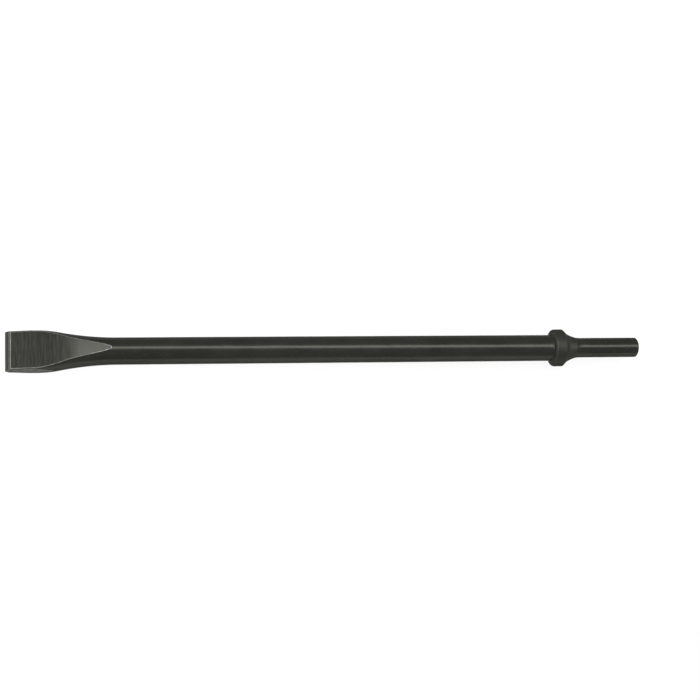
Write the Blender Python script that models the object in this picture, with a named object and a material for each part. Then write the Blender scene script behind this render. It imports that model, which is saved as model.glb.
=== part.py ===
"""Flat cold chisel for a hand-held air hammer: one steel forging, 325 mm long.

The tool's axis is X. The origin is the centre of the struck end, on the shank, and the cutting edge is at
-X. The blade's ground faces look up (+Z) and down, and its width runs along Y. Lengths are in metres, and a
station is a distance along the axis from the cutting edge.
"""

import math

import bmesh
import bpy

MM = 0.001

# Overall
LENGTH = 325 * MM
SEGMENTS = 24
SHARP_ANGLE = math.radians(25)

# Round bar
BODY_RADIUS = 6.75 * MM

# Oval flare of the bar's front end, from which the blade is ground
FLARE_START = 54 * MM
FLARE_TURN = 26 * MM
FLARE_END = 15 * MM
FLARE_SLOPE = 0.2
FLARE_THICKENING = 0.4
SHOULDER_STEPS = 6
HOLLOW_STEPS = 8

# Ground blade
BLADE_WIDTH = 20.2 * MM
EDGE_LAND = 0.3 * MM
BEVEL_LENGTH = 3.0 * MM
RIDGE_THICKNESS = 4.8 * MM
WEDGE_END = 21 * MM
WEDGE_SLOPE = 0.125
FACE_END = 50.5 * MM
FACE_END_DEPTH = 0.06 * MM
RUN_OUT_STEPS = 7
CORNER_CHAMFER = 0.75 * MM
CORNER_CHAMFER_ANGLE = math.radians(45)
CHAMFER_REACH = 22 * MM

# Upset collar
COLLAR_RADIUS = 9.65 * MM
COLLAR_START = 276.2 * MM
COLLAR_FRONT_ANGLE = math.radians(60)
COLLAR_FRONT_ARC = 3.1 * MM
COLLAR_ARC_STEPS = 4
COLLAR_LAND_END = 284.0 * MM
COLLAR_REAR_CHAMFER = 1.8 * MM

# Shank, which turns in the hammer's barrel
SHANK_RADIUS = 5.1 * MM
TAPER_LENGTH = 8.2 * MM
TAPER_STEPS = 8
END_CHAMFER = 0.85 * MM

# Grinding cutters reach this far past what they cut
CLEARANCE = 3 * MM


def along(start, end, count):
    """Evenly spaced values from start to end, both included."""
    return [start + (end - start) * i / count for i in range(count + 1)]


def flare_half_width(station):
    """Half the oval's width: the bar's radius, a hollow curve out of it, then a rounded shoulder."""
    if station >= FLARE_START:
        return BODY_RADIUS
    hollow = FLARE_START - FLARE_TURN
    if station >= FLARE_TURN:
        return BODY_RADIUS + FLARE_SLOPE * (FLARE_START - station) ** 2 / (2 * hollow)
    shoulder = FLARE_TURN - FLARE_END
    travel = min(FLARE_TURN - station, shoulder)
    rise = FLARE_SLOPE * (travel - travel**2 / (2 * shoulder))
    return BODY_RADIUS + FLARE_SLOPE * hollow / 2 + rise


def bar_sections():
    """(station, half width, half height) of the bar from its front end to the collar."""
    stations = [0, FLARE_END]
    stations += along(FLARE_END, FLARE_TURN, SHOULDER_STEPS)[1:]
    stations += along(FLARE_TURN, FLARE_START, HOLLOW_STEPS)[1:]
    sections = []
    for station in stations:
        half_width = flare_half_width(station)
        thickening = FLARE_THICKENING * (half_width - BODY_RADIUS)
        sections.append((station, half_width, BODY_RADIUS + thickening))
    return sections


def round_sections():
    """(station, radius, radius) of the collar, the taper behind it and the shank."""
    arc_drop = COLLAR_FRONT_ARC * (1 - math.cos(COLLAR_FRONT_ANGLE))
    cone_rise = COLLAR_RADIUS - arc_drop - BODY_RADIUS
    arc_start = COLLAR_START + cone_rise / math.tan(COLLAR_FRONT_ANGLE)
    arc_end = arc_start + COLLAR_FRONT_ARC * math.sin(COLLAR_FRONT_ANGLE)
    outline = [(COLLAR_START, BODY_RADIUS)]
    for angle in along(COLLAR_FRONT_ANGLE, 0, COLLAR_ARC_STEPS):
        station = arc_end - COLLAR_FRONT_ARC * math.sin(angle)
        outline.append((station, COLLAR_RADIUS - COLLAR_FRONT_ARC * (1 - math.cos(angle))))
    outline.append((COLLAR_LAND_END, COLLAR_RADIUS))

    taper_start = COLLAR_LAND_END + COLLAR_REAR_CHAMFER
    taper_drop = COLLAR_RADIUS - COLLAR_REAR_CHAMFER - SHANK_RADIUS
    for station in along(taper_start, taper_start + TAPER_LENGTH, TAPER_STEPS):
        left = 1 - (station - taper_start) / TAPER_LENGTH
        outline.append((station, SHANK_RADIUS + taper_drop * left**2))
    outline.append((LENGTH - END_CHAMFER, SHANK_RADIUS))
    outline.append((LENGTH, SHANK_RADIUS - END_CHAMFER))
    return [(station, radius, radius) for station, radius in outline]


def lofted(name, sections):
    """A closed solid through elliptical sections across the axis, front to back, with a facet underneath."""
    mesh = bmesh.new()
    rings = []
    for station, half_width, half_height in sections:
        ring = []
        for i in range(SEGMENTS):
            angle = 2 * math.pi * (i + 0.5) / SEGMENTS
            place = (station - LENGTH, half_width * math.cos(angle), half_height * math.sin(angle))
            ring.append(mesh.verts.new(place))
        rings.append(ring)
    for ring, following in zip(rings, rings[1:]):
        for i in range(SEGMENTS):
            j = (i + 1) % SEGMENTS
            mesh.faces.new((ring[i], ring[j], following[j], following[i]))
    mesh.faces.new(rings[0])
    mesh.faces.new(rings[-1])
    return finished(name, mesh)


def prism(name, outline, half_width):
    """The (station, height) outline as a solid from -half_width to +half_width along Y."""
    mesh = bmesh.new()
    near = [mesh.verts.new((station - LENGTH, -half_width, height)) for station, height in outline]
    cap = mesh.faces.new(near)
    swept = bmesh.ops.extrude_face_region(mesh, geom=[cap])["geom"]
    far = [item for item in swept if isinstance(item, bmesh.types.BMVert)]
    bmesh.ops.translate(mesh, verts=far, vec=(0, 2 * half_width, 0))
    return finished(name, mesh)


def finished(name, mesh):
    """The mesh as an object in the scene, its faces pointing out."""
    bmesh.ops.recalc_face_normals(mesh, faces=mesh.faces)
    data = bpy.data.meshes.new(name)
    mesh.to_mesh(data)
    mesh.free()
    made = bpy.data.objects.new(name, data)
    bpy.context.scene.collection.objects.link(made)
    return made


def block_outline(start, end, half_height):
    """Outline of a plain block between two stations."""
    return [(start, -half_height), (end, -half_height), (end, half_height), (start, half_height)]


def face_outline(side):
    """Outline of the metal ground off above the blade (side 1) or below it (side -1)."""
    ridge = RIDGE_THICKNESS / 2
    wedge_end_height = ridge + WEDGE_SLOPE * (WEDGE_END - BEVEL_LENGTH)
    run = FACE_END - WEDGE_END
    end_height = BODY_RADIUS - FACE_END_DEPTH
    curve = (wedge_end_height + WEDGE_SLOPE * run - end_height) / run**2
    outline = [(-CLEARANCE, EDGE_LAND / 2), (0, EDGE_LAND / 2), (BEVEL_LENGTH, ridge)]
    for station in along(WEDGE_END, FACE_END, RUN_OUT_STEPS):
        past = station - WEDGE_END
        outline.append((station, wedge_end_height + WEDGE_SLOPE * past - curve * past**2))
    top = end_height + 2 * CLEARANCE
    outline += [(FACE_END + 2 * CLEARANCE, top), (-CLEARANCE, top)]
    return [(station, side * height) for station, height in outline]


def cut(part, cutter):
    """Take the cutter's volume off the part."""
    cutter.hide_render = True
    cutter.display_type = "WIRE"
    boolean = part.modifiers.new(cutter.name, "BOOLEAN")
    boolean.operation = "DIFFERENCE"
    boolean.solver = "EXACT"
    boolean.object = cutter


def grind_faces(part):
    """The two broad faces, each with its wedge, its run-out on the bar and its edge bevel."""
    for name, side in (("upper_face_cut", 1), ("lower_face_cut", -1)):
        cut(part, prism(name, face_outline(side), BLADE_WIDTH))


def grind_sides(part):
    """The two narrow sides, flat and parallel, which set the blade's width."""
    outline = block_outline(-2 * CLEARANCE, FLARE_TURN + CLEARANCE, BODY_RADIUS + CLEARANCE)
    for name, side in (("left_side_cut", 1), ("right_side_cut", -1)):
        cutter = prism(name, outline, CLEARANCE)
        cutter.location.y = side * (BLADE_WIDTH / 2 + CLEARANCE)
        cut(part, cutter)


def chamfer_corners(part):
    """The four long corners, each taken off by a tilted block that follows the wedge."""
    outline = block_outline(LENGTH - CHAMFER_REACH, LENGTH + CHAMFER_REACH, CLEARANCE)
    ridge_height = RIDGE_THICKNESS / 2
    outward = CLEARANCE * math.sin(CORNER_CHAMFER_ANGLE)
    for across in (1, -1):
        for up in (1, -1):
            name = f"corner_cut_{'left' if across > 0 else 'right'}_{'upper' if up > 0 else 'lower'}"
            cutter = prism(name, outline, CLEARANCE)
            cutter.rotation_euler = (CORNER_CHAMFER_ANGLE, -up * math.atan(WEDGE_SLOPE), 0)
            cutter.location = (
                BEVEL_LENGTH - LENGTH,
                across * (BLADE_WIDTH / 2 - CORNER_CHAMFER / 2 + outward),
                up * (ridge_height - CORNER_CHAMFER / 2 + outward),
            )
            cut(part, cutter)


def black_oxide_steel():
    """Dark oxide left on the forging by its heat treatment."""
    material = bpy.data.materials.new("black_oxide_steel")
    material.use_nodes = True
    shader = material.node_tree.nodes["Principled BSDF"]
    shader.inputs["Base Color"].default_value = (0.045, 0.044, 0.038, 1)
    shader.inputs["Metallic"].default_value = 0.8
    shader.inputs["Roughness"].default_value = 0.45
    return material


for leftover in list(bpy.data.objects):
    bpy.data.objects.remove(leftover)

chisel = lofted("chisel", bar_sections() + round_sections())
grind_faces(chisel)
grind_sides(chisel)
chamfer_corners(chisel)
chisel.data.materials.append(black_oxide_steel())
chisel.data.shade_smooth()
chisel.data.set_sharp_from_angle(angle=SHARP_ANGLE)
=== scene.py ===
"""Flat chisel for a hand-held air hammer: one steel forging, 325 mm long, lying on a pale studio floor.

The tool's axis is X. The struck end of the shank is at the origin and the cutting edge is at -X. The blade's
ground faces look up and down. Lengths are in metres.
"""

import math

import bmesh
import bpy
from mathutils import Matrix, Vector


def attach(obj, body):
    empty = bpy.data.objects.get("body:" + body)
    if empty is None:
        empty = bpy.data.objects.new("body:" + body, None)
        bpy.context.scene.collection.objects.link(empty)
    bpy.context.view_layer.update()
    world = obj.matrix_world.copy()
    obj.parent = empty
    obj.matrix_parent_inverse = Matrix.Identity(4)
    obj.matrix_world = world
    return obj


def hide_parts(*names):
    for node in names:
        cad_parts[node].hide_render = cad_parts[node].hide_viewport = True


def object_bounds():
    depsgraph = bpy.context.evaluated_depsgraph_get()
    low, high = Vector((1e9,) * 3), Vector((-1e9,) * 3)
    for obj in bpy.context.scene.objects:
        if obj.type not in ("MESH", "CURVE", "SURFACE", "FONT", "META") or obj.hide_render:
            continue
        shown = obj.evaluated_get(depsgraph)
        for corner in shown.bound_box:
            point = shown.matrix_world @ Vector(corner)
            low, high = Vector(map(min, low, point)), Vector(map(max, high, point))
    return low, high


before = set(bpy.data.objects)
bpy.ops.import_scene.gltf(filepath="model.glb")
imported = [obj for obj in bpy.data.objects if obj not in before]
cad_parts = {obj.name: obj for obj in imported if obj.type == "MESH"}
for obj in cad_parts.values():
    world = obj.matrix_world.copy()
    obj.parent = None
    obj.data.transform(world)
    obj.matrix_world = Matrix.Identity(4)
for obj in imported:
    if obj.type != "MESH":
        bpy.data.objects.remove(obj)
cad_low, cad_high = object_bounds()


# ---------------------------------------------------------------------------------------------------------
# Studio
# A long lens looks down on the blade's upper face, a little from one side and from the blade's end. The tool
# lies on a pale, matt floor under one long strip light, with a wide weak fill beyond each end. No lamp casts
# a shadow.

camera_data = bpy.data.cameras.new("camera")
camera_data.lens = 79.714
camera_data.sensor_width = 36
camera_data.clip_start = 0.01
camera = bpy.data.objects.new("camera", camera_data)
camera.location = (-0.3141, -0.2360, 0.7331)
camera.rotation_euler = [math.radians(turn) for turn in (18.256, -11.034, -4.048)]
bpy.context.scene.collection.objects.link(camera)
bpy.context.scene.camera = camera
bpy.context.scene.view_settings.view_transform = "Standard"


def softbox(name, place, size, radiance, tilt=0, spin=0):
    """A rectangular light that faces down until it is tilted about Y and spun about Z, with an even glow."""
    lamp = bpy.data.lights.new(name, "AREA")
    lamp.shape = "RECTANGLE"
    lamp.size, lamp.size_y = size
    lamp.energy = radiance * math.pi * size[0] * size[1]
    lamp.use_shadow = False
    lamp.color = (0.975, 1, 0.985)
    light = bpy.data.objects.new(name, lamp)
    light.location = place
    light.rotation_euler = (0, math.radians(tilt), math.radians(spin))
    bpy.context.scene.collection.objects.link(light)


softbox("strip_light", (0.12, 0.09, 1.0), (1.1, 0.29), 4.8, spin=-18)
softbox("front_fill", (-1.21, 0, 1.16), (0.9, 1.3), 5.2, tilt=-42)
softbox("back_fill", (1.5, 0, 0.8), (0.6, 1.0), 5.2, tilt=64)

# The room is dim, so that the dark steel keeps its contrast, but it looks white behind the tool
world = bpy.data.worlds.new("studio")
world.use_nodes = True
room = world.node_tree
seen = room.nodes.new("ShaderNodeLightPath")
glow = room.nodes.new("ShaderNodeMapRange")
glow.inputs["To Min"].default_value = 0.18
glow.inputs["To Max"].default_value = 1
room.links.new(seen.outputs["Is Camera Ray"], glow.inputs["Value"])
room.links.new(glow.outputs["Result"], room.nodes["Background"].inputs["Strength"])
room.nodes["Background"].inputs["Color"].default_value = (1, 1, 1, 1)
bpy.context.scene.world = world

FLOOR_GAP = 0.0001
bpy.ops.mesh.primitive_plane_add(size=1.8, location=(-0.16, 0, cad_low.z - FLOOR_GAP))
floor = bpy.context.object
floor.name = "floor"
floor_paint = bpy.data.materials.new("floor_paint")
floor_paint.use_nodes = True
floor_shader = floor_paint.node_tree.nodes["Principled BSDF"]
floor_shader.inputs["Base Color"].default_value = (0.96, 0.94, 0.95, 1)
floor_shader.inputs["Roughness"].default_value = 0.9
floor.data.materials.append(floor_paint)


# ---------------------------------------------------------------------------------------------------------
# Forging
# A round bar of shock-resisting tool steel, 13.5 mm across. Its front end is flattened to a wide oval in the
# dies and a collar is upset near its back end. The shank behind the collar is turned down to fit the hammer.

MM = 0.001
LENGTH = cad_high.x - cad_low.x
BAR_RADIUS = 6.75 * MM
AROUND = 144

# The oval front, as distances from the cutting edge
FLARE_START = 54 * MM
FLARE_TURN = 26 * MM
FLARE_END = 15 * MM
FLARE_SLOPE = 0.2
FLARE_THICKENING = 0.4
FLARE_STEPS = 54

# The collar and the shank
COLLAR_RADIUS = 9.65 * MM
COLLAR_START = 277.6 * MM
COLLAR_FRONT_ANGLE = math.radians(78)
COLLAR_FRONT_ARC = 1.6 * MM
COLLAR_LAND_END = 283.5 * MM
COLLAR_REAR_CHAMFER = 1.9 * MM
SHANK_RADIUS = 5.1 * MM
TAPER_LENGTH = 8.2 * MM
TAPER_STEPS = 24
ARC_STEPS = 12
END_CHAMFER = 0.85 * MM

# The scaly skin of the upset steel ends here, and the shank's smoother one begins
ROUGH_END = 290.6 * MM


def flare_half_width(station):
    """Half the oval's width: the bar's radius, a hollow curve out of it, then a rounded shoulder."""
    hollow = FLARE_START - FLARE_TURN
    if station >= FLARE_TURN:
        return BAR_RADIUS + FLARE_SLOPE * (FLARE_START - station) ** 2 / (2 * hollow)
    shoulder = FLARE_TURN - FLARE_END
    travel = min(FLARE_TURN - station, shoulder)
    rise = FLARE_SLOPE * (travel - travel**2 / (2 * shoulder))
    return BAR_RADIUS + FLARE_SLOPE * hollow / 2 + rise


def select_faces(thing, wanted):
    """Back in edit mode with only the faces that the test wants selected."""
    bpy.ops.object.mode_set(mode="OBJECT")
    for part in (thing.data.vertices, thing.data.edges, thing.data.polygons):
        part.foreach_set("select", [False] * len(part))
    for face in thing.data.polygons:
        face.select = wanted(face)
    bpy.ops.object.mode_set(mode="EDIT")
    bpy.ops.mesh.select_mode(type="FACE")


def draw_out(start, end, across, up):
    """Extrude the selected cap from one place on the axis to the next, and scale it there."""
    bpy.ops.mesh.extrude_region_move(TRANSFORM_OT_translate={"value": (end - start, 0, 0)})
    bpy.ops.transform.resize(value=(1, across, up), center_override=(end, 0, 0))


def finish_of_steel(name, colour, metallic, roughness):
    """A new steel material, its shader and its node tree."""
    material = bpy.data.materials.new(name)
    material.use_nodes = True
    shader = material.node_tree.nodes["Principled BSDF"]
    shader.inputs["Base Color"].default_value = (*colour, 1)
    shader.inputs["Metallic"].default_value = metallic
    shader.inputs["Roughness"].default_value = roughness
    shader.inputs["IOR"].default_value = 1.15
    shader.inputs["Specular Tint"].default_value = (0.22, 0.22, 0.22, 1)
    return material, shader, material.node_tree


def grain(tree, stretch, detail):
    """Noise in the chisel's own coordinates, with so many grains to the metre along each axis."""
    place = tree.nodes.new("ShaderNodeTexCoord")
    mapping = tree.nodes.new("ShaderNodeMapping")
    mapping.inputs["Scale"].default_value = stretch
    noise = tree.nodes.new("ShaderNodeTexNoise")
    noise.inputs["Scale"].default_value = 1
    noise.inputs["Detail"].default_value = detail
    noise.inputs["Roughness"].default_value = 0.6
    tree.links.new(place.outputs["Object"], mapping.inputs["Vector"])
    tree.links.new(mapping.outputs["Vector"], noise.inputs["Vector"])
    return noise.outputs["Fac"]


def spread(tree, source, low, high, start=0.35, end=0.65):
    """The noise stretched to run from one value to another."""
    spreader = tree.nodes.new("ShaderNodeMapRange")
    spreader.inputs["From Min"].default_value = start
    spreader.inputs["From Max"].default_value = end
    spreader.inputs["To Min"].default_value = low
    spreader.inputs["To Max"].default_value = high
    tree.links.new(source, spreader.inputs["Value"])
    return spreader.outputs["Result"]


def blend_colours(tree, source, dark, light):
    """Dark where the noise is low, light where it is high. Each may be a colour or another node's output."""
    mix = tree.nodes.new("ShaderNodeMix")
    mix.data_type = "RGBA"
    tree.links.new(source, mix.inputs["Factor"])
    for socket, colour in (("A", dark), ("B", light)):
        if isinstance(colour, tuple):
            mix.inputs[socket].default_value = (*colour, 1)
        else:
            tree.links.new(colour, mix.inputs[socket])
    return mix.outputs["Result"]


def relief(tree, source, depth, under=None):
    """The noise as a bump of that depth in metres, over another bump if there is one."""
    bump = tree.nodes.new("ShaderNodeBump")
    bump.inputs["Distance"].default_value = depth
    tree.links.new(source, bump.inputs["Height"])
    if under is not None:
        tree.links.new(under, bump.inputs["Normal"])
    return bump.outputs["Normal"]


def oxide_skin(name, gloss, scale_depth):
    """Black oxide over fine scale, with faint marks of rolling along the bar."""
    material, shader, tree = finish_of_steel(name, (0.052, 0.051, 0.044), 0.6, gloss)
    clouds = spread(tree, grain(tree, (60, 110, 110), 5), 0, 1)
    specks = spread(tree, grain(tree, (1500, 1500, 1500), 3), 0, 1, 0.55, 0.72)
    rolled = grain(tree, (25, 1400, 1400), 3)
    scale = grain(tree, (2600, 2600, 2600), 2)
    body = blend_colours(tree, clouds, (0.045, 0.0445, 0.038), (0.058, 0.057, 0.05))
    tree.links.new(blend_colours(tree, specks, body, (0.08, 0.078, 0.07)), shader.inputs["Base Color"])
    tree.links.new(spread(tree, clouds, gloss - 0.03, gloss + 0.03, 0, 1), shader.inputs["Roughness"])
    bumps = relief(tree, scale, scale_depth, relief(tree, rolled, 0.002 * MM))
    tree.links.new(bumps, shader.inputs["Normal"])
    return material


bpy.ops.object.select_all(action="DESELECT")
bar_length = COLLAR_START - FLARE_START
bpy.ops.mesh.primitive_cylinder_add(
    vertices=AROUND,
    radius=BAR_RADIUS,
    depth=bar_length,
    location=((FLARE_START + COLLAR_START) / 2 - LENGTH, 0, 0),
    rotation=(0, math.radians(90), 0),
)
chisel = bpy.context.object
chisel.name = "chisel_forging"
chisel.data.materials.append(oxide_skin("black_oxide_bar", 0.24, 0.002 * MM))
chisel.data.materials.append(oxide_skin("black_oxide_upset", 0.48, 0.006 * MM))
bpy.ops.object.transform_apply(location=True, rotation=True, scale=True)

# Flatten the front end into the oval
select_faces(chisel, lambda face: face.normal.x < -0.9)
place, half_width, half_height = FLARE_START, BAR_RADIUS, BAR_RADIUS
for step in range(1, FLARE_STEPS + 1):
    following = FLARE_START * (1 - step / FLARE_STEPS)
    wider = flare_half_width(following)
    taller = BAR_RADIUS + FLARE_THICKENING * (wider - BAR_RADIUS)
    draw_out(place - LENGTH, following - LENGTH, wider / half_width, taller / half_height)
    place, half_width, half_height = following, wider, taller

# Upset the collar and turn the taper and the shank
arc_drop = COLLAR_FRONT_ARC * (1 - math.cos(COLLAR_FRONT_ANGLE))
cone_rise = COLLAR_RADIUS - arc_drop - BAR_RADIUS
arc_start = COLLAR_START + cone_rise / math.tan(COLLAR_FRONT_ANGLE)
arc_end = arc_start + COLLAR_FRONT_ARC * math.sin(COLLAR_FRONT_ANGLE)
taper_start = COLLAR_LAND_END + COLLAR_REAR_CHAMFER
taper_drop = COLLAR_RADIUS - COLLAR_REAR_CHAMFER - SHANK_RADIUS
turned = []
for step in range(ARC_STEPS + 1):
    angle = COLLAR_FRONT_ANGLE * (1 - step / ARC_STEPS)
    drop = COLLAR_FRONT_ARC * (1 - math.cos(angle))
    turned.append((arc_end - COLLAR_FRONT_ARC * math.sin(angle), COLLAR_RADIUS - drop))
turned.append((COLLAR_LAND_END, COLLAR_RADIUS))
for step in range(TAPER_STEPS + 1):
    left = 1 - step / TAPER_STEPS
    turned.append((taper_start + TAPER_LENGTH * (1 - left), SHANK_RADIUS + taper_drop * left**2))
turned.append((LENGTH - END_CHAMFER, SHANK_RADIUS))
turned.append((LENGTH, SHANK_RADIUS - END_CHAMFER))

select_faces(chisel, lambda face: face.normal.x > 0.9)
place, radius = COLLAR_START, BAR_RADIUS
for following, next_radius in turned:
    scale = next_radius / radius
    draw_out(place - LENGTH, following - LENGTH, scale, scale)
    place, radius = following, next_radius
select_faces(chisel, lambda face: COLLAR_START < face.center.x + LENGTH < ROUGH_END)
chisel.active_material_index = 1
bpy.ops.object.material_slot_assign()
bpy.ops.object.mode_set(mode="OBJECT")


# ---------------------------------------------------------------------------------------------------------
# Grinding
# The two broad faces are ground to a wedge that runs out on the bar in a rounded point. Each has a cutting
# bevel in front, with a narrow second strip behind the bevel. The two narrow sides are ground parallel, and
# last the four long corners are broken.

BLADE_WIDTH = cad_high.y - cad_low.y
EDGE_LAND = 0.3 * MM
BEVEL_END = 1.65 * MM
BEVEL_THICKNESS = 3.2 * MM
RIDGE = 2.6 * MM
RIDGE_THICKNESS = 4.7 * MM
WEDGE_END = 24.5 * MM
WEDGE_SLOPE = 0.125
RUN_OUT_START = 36 * MM
RUN_OUT_SLOPE = 0.0462
EASING_STEPS = 24
CORNER_CHAMFER = 0.75 * MM
CORNER_CHAMFER_ANGLE = math.radians(45)
CHAMFER_REACH = 22 * MM
CLEARANCE = 3 * MM


def ground_steel(name, dark, light, metallic, roughness, marks, depth):
    """Steel ground after forging and blackened again in hardening, with the wheel's marks along one axis."""
    material, shader, tree = finish_of_steel(name, light, metallic, roughness)
    clouds = spread(tree, grain(tree, (130, 130, 130), 5), 0, 1)
    scratches = grain(tree, marks, 4)
    streaks = spread(tree, scratches, 0, 1, 0.4, 0.62)
    body = blend_colours(tree, clouds, dark, light)
    pale = tuple(1.1 * part for part in light)
    tree.links.new(blend_colours(tree, streaks, body, pale), shader.inputs["Base Color"])
    worn = spread(tree, streaks, roughness - 0.03, roughness + 0.03, 0, 1)
    tree.links.new(worn, shader.inputs["Roughness"])
    tree.links.new(relief(tree, scratches, depth), shader.inputs["Normal"])
    return material


FACE_COLOURS = (0.048, 0.047, 0.041), (0.06, 0.059, 0.052)
BEVEL_COLOURS = (0.082, 0.082, 0.074), (0.108, 0.108, 0.1)
# the sides and the corner chamfers are coloured much lighter than the faces: a painted sheen for the light
# they catch, laid over the ground steel's own tone
SIDE_COLOURS_WITH_SHEEN = (0.12, 0.122, 0.112), (0.165, 0.168, 0.158)
face_finish = ground_steel("ground_face", *FACE_COLOURS, 0.85, 0.24, (1900, 90, 1900), 0.0006 * MM)
bevel_finish = ground_steel("ground_bevel", *BEVEL_COLOURS, 0.6, 0.26, (2400, 60, 2400), 0.001 * MM)
side_finish_with_sheen = ground_steel("ground_side_with_sheen", *SIDE_COLOURS_WITH_SHEEN, 0.6, 0.3, (60, 2400, 2400), 0.001 * MM)


def wheel_path():
    """(place, height) along the ground face, from in front of the edge to where it leaves the bar."""
    ridge = RIDGE_THICKNESS / 2
    wedge_end_height = ridge + WEDGE_SLOPE * (WEDGE_END - RIDGE)
    path = [(-CLEARANCE, EDGE_LAND / 2), (0, EDGE_LAND / 2)]
    path += [(BEVEL_END, BEVEL_THICKNESS / 2), (RIDGE, ridge)]
    easing = RUN_OUT_START - WEDGE_END
    flattening = (WEDGE_SLOPE - RUN_OUT_SLOPE) / (2 * easing)
    for step in range(EASING_STEPS + 1):
        past = easing * step / EASING_STEPS
        height = wedge_end_height + WEDGE_SLOPE * past - flattening * past**2
        path.append((WEDGE_END + past, height))
    run_out = (BAR_RADIUS + CLEARANCE - height) / RUN_OUT_SLOPE
    path.append((RUN_OUT_START + run_out, BAR_RADIUS + CLEARANCE))
    return path


def cut_away(name, cutter):
    """Take the cutter's volume off the chisel for good."""
    boolean = chisel.modifiers.new(name, "BOOLEAN")
    boolean.operation = "DIFFERENCE"
    boolean.solver = "EXACT"
    boolean.material_mode = "TRANSFER"
    boolean.object = cutter
    bpy.ops.object.select_all(action="DESELECT")
    bpy.context.view_layer.objects.active = chisel
    chisel.select_set(True)
    bpy.ops.object.modifier_apply(modifier=name)
    bpy.data.objects.remove(cutter)


def ground_face_cutter(side):
    """The metal that the wheel takes off one face: its path as a strip, given thickness."""
    bpy.ops.object.select_all(action="DESELECT")
    path = wheel_path()
    first, second = path[0], path[1]
    bpy.ops.mesh.primitive_plane_add(size=1)
    cutter = bpy.context.object
    middle = ((first[0] + second[0]) / 2 - LENGTH, 0, first[1])
    bpy.ops.object.mode_set(mode="EDIT")
    bpy.ops.transform.resize(value=(second[0] - first[0], 2 * BLADE_WIDTH, 1), center_override=(0, 0, 0))
    bpy.ops.transform.translate(value=middle)
    bpy.ops.object.mode_set(mode="OBJECT")
    for edge in cutter.data.edges:
        ends = [cutter.data.vertices[i].co.x for i in edge.vertices]
        edge.select = min(ends) > middle[0]
    for vertex in cutter.data.vertices:
        vertex.select = vertex.co.x > middle[0]
    for face in cutter.data.polygons:
        face.select = False
    bpy.ops.object.mode_set(mode="EDIT")
    bpy.ops.mesh.select_mode(type="EDGE")
    for (place, height), (following, next_height) in zip(path[1:], path[2:]):
        step = (following - place, 0, next_height - height)
        bpy.ops.mesh.extrude_edges_move(TRANSFORM_OT_translate={"value": step})
    bpy.ops.mesh.select_all(action="SELECT")
    bpy.ops.mesh.extrude_region_move(TRANSFORM_OT_translate={"value": (0, 0, 4 * BAR_RADIUS)})
    bpy.ops.mesh.select_all(action="SELECT")
    bpy.ops.transform.resize(value=(1, 1, side), center_override=(0, 0, 0))
    bpy.ops.mesh.normals_make_consistent(inside=False)
    bpy.ops.object.mode_set(mode="OBJECT")
    for finish in (face_finish, bevel_finish, side_finish_with_sheen):
        cutter.data.materials.append(finish)
    for face in cutter.data.polygons:
        if face.center.x < BEVEL_END - LENGTH:
            face.material_index = 1
        elif face.center.x < RIDGE - LENGTH:
            face.material_index = 2
    return cutter


def block_cutter(size, place, turn):
    """A plain block of the given size, turned and put in place."""
    bpy.ops.object.select_all(action="DESELECT")
    bpy.ops.mesh.primitive_cube_add(size=1, location=place, rotation=turn)
    cutter = bpy.context.object
    cutter.scale = size
    bpy.ops.object.transform_apply(location=True, rotation=True, scale=True)
    cutter.data.materials.append(side_finish_with_sheen)
    return cutter


for name, side in (("upper_face", 1), ("lower_face", -1)):
    cut_away(name, ground_face_cutter(side))

side_length = FLARE_TURN + CLEARANCE
for name, side in (("left_side", 1), ("right_side", -1)):
    size = (2 * side_length, 2 * CLEARANCE, 4 * BAR_RADIUS)
    place = (-LENGTH, side * (BLADE_WIDTH / 2 + CLEARANCE), 0)
    cut_away(name, block_cutter(size, place, (0, 0, 0)))

outward = CLEARANCE * math.sin(CORNER_CHAMFER_ANGLE)
for across in (1, -1):
    for up in (1, -1):
        name = f"corner_{'left' if across > 0 else 'right'}_{'upper' if up > 0 else 'lower'}"
        size = (2 * CHAMFER_REACH, 2 * CLEARANCE, 2 * CLEARANCE)
        place = (
            RIDGE - LENGTH,
            across * (BLADE_WIDTH / 2 - CORNER_CHAMFER / 2 + outward),
            up * (RIDGE_THICKNESS / 2 - CORNER_CHAMFER / 2 + outward),
        )
        turn = (CORNER_CHAMFER_ANGLE, -up * math.atan(WEDGE_SLOPE), 0)
        cut_away(name, block_cutter(size, place, turn))


# ---------------------------------------------------------------------------------------------------------
# Edges
# Where two faces meet, a narrow strip is bevelled along the long corners and round the outline of each
# ground face, and its pale colour is a painted highlight. The ridges and the turned corners are only eased.

WELD = 0.08 * MM
CLEANING = 0.01 * MM
RIDGE_EASING = 0.1 * MM
EDGE_HIGHLIGHT_STRIP = 0.35 * MM
COLLAR_FILLET = 0.3 * MM
TURNED_EASING = 0.35 * MM
SHARP = math.radians(15)
SMOOTH_UP_TO = math.radians(20)


def select_edges(wanted):
    """In edit mode, only the chisel's edges that pass the test."""
    bpy.ops.mesh.select_mode(type="EDGE")
    bpy.ops.mesh.select_all(action="DESELECT")
    mesh = bmesh.from_edit_mesh(chisel.data)
    for edge in mesh.edges:
        edge.select = wanted(edge)
    mesh.select_flush_mode()
    bmesh.update_edit_mesh(chisel.data)


def station(edge):
    """How far the middle of an edge is from the cutting edge."""
    return (edge.verts[0].co.x + edge.verts[1].co.x) / 2 + LENGTH


def is_ridge(edge):
    """An edge across the blade, at either side of the strip between a cutting bevel and its face."""
    across = edge.calc_length() > BLADE_WIDTH / 2
    return across and BEVEL_END - WELD < station(edge) < RIDGE + WELD


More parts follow.
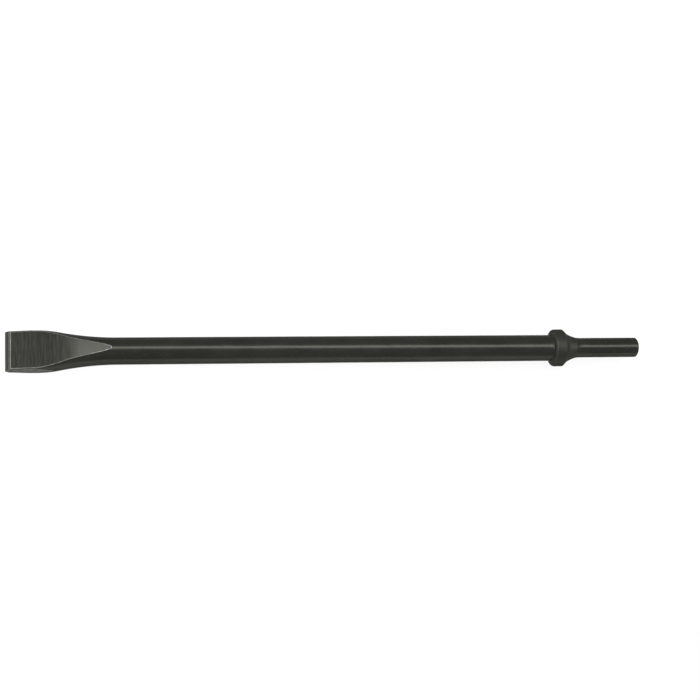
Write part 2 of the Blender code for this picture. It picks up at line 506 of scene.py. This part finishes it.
def is_outline(edge):
    """An edge round a ground surface, apart from those at the cutting edge and along the ridge."""
    finishes = {face.material_index for face in edge.link_faces}
    if not WELD < station(edge) < FLARE_START or EDGE_HIGHLIGHT_SLOT in finishes:
        return False
    return len(finishes) > 1 or edge.calc_face_angle(0) > SHARP


def is_collar_root(edge):
    """Where the bar meets the collar's front."""
    return abs(station(edge) - COLLAR_START) < WELD and edge.calc_face_angle(0) > SHARP


def is_turned_corner(edge):
    """A corner left by turning, on the collar and the shank."""
    return station(edge) > COLLAR_START - WELD and edge.calc_face_angle(0) > SHARP


def painted_edge_highlight():
    """Pale steel colour for the edge strips, a painted highlight, brighter in some places than in others."""
    # the pale base colour here paints the edges' highlight
    material, shader, tree = finish_of_steel("edge_highlight_paint", (0.3, 0.3, 0.28), 0.8, 0.38)
    highlight_mottle = spread(tree, grain(tree, (420, 420, 420), 4), 0, 1, 0.38, 0.6)
    colour = blend_colours(tree, highlight_mottle, (0.16, 0.165, 0.152), (0.3, 0.305, 0.29))
    tree.links.new(colour, shader.inputs["Base Color"])
    tree.links.new(spread(tree, highlight_mottle, 0.44, 0.33, 0, 1), shader.inputs["Roughness"])
    nicks = relief(tree, grain(tree, (2200, 2200, 2200), 3), 0.004 * MM)
    tree.links.new(nicks, shader.inputs["Normal"])
    return material


# the bevelled edge strips take this material, whose pale colour is a painted highlight
EDGE_HIGHLIGHT_SLOT = len(chisel.data.materials)
chisel.data.materials.append(painted_edge_highlight())

bpy.ops.object.select_all(action="DESELECT")
chisel.select_set(True)
bpy.context.view_layer.objects.active = chisel
bpy.ops.object.mode_set(mode="EDIT")
bpy.ops.mesh.select_all(action="SELECT")
bpy.ops.mesh.remove_doubles(threshold=WELD)
select_edges(is_ridge)
bpy.ops.mesh.bevel(offset_type="WIDTH", offset=RIDGE_EASING, segments=2)
select_edges(is_outline)
bpy.ops.mesh.bevel(offset_type="WIDTH", offset=EDGE_HIGHLIGHT_STRIP, segments=2, material=EDGE_HIGHLIGHT_SLOT)
select_edges(is_collar_root)
bpy.ops.mesh.bevel(offset_type="WIDTH", offset=COLLAR_FILLET, segments=6)
select_edges(is_turned_corner)
bpy.ops.mesh.bevel(offset_type="WIDTH", offset=TURNED_EASING, segments=3)
bpy.ops.mesh.select_all(action="SELECT")
bpy.ops.mesh.remove_doubles(threshold=CLEANING)
bpy.ops.mesh.normals_make_consistent(inside=False)
bpy.ops.object.mode_set(mode="OBJECT")
bpy.ops.object.shade_smooth_by_angle(angle=SMOOTH_UP_TO)
weighted = chisel.modifiers.new("weighted_normals", "WEIGHTED_NORMAL")
weighted.keep_sharp = True
bpy.ops.object.modifier_apply(modifier=weighted.name)

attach(chisel, "root")
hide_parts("chisel")
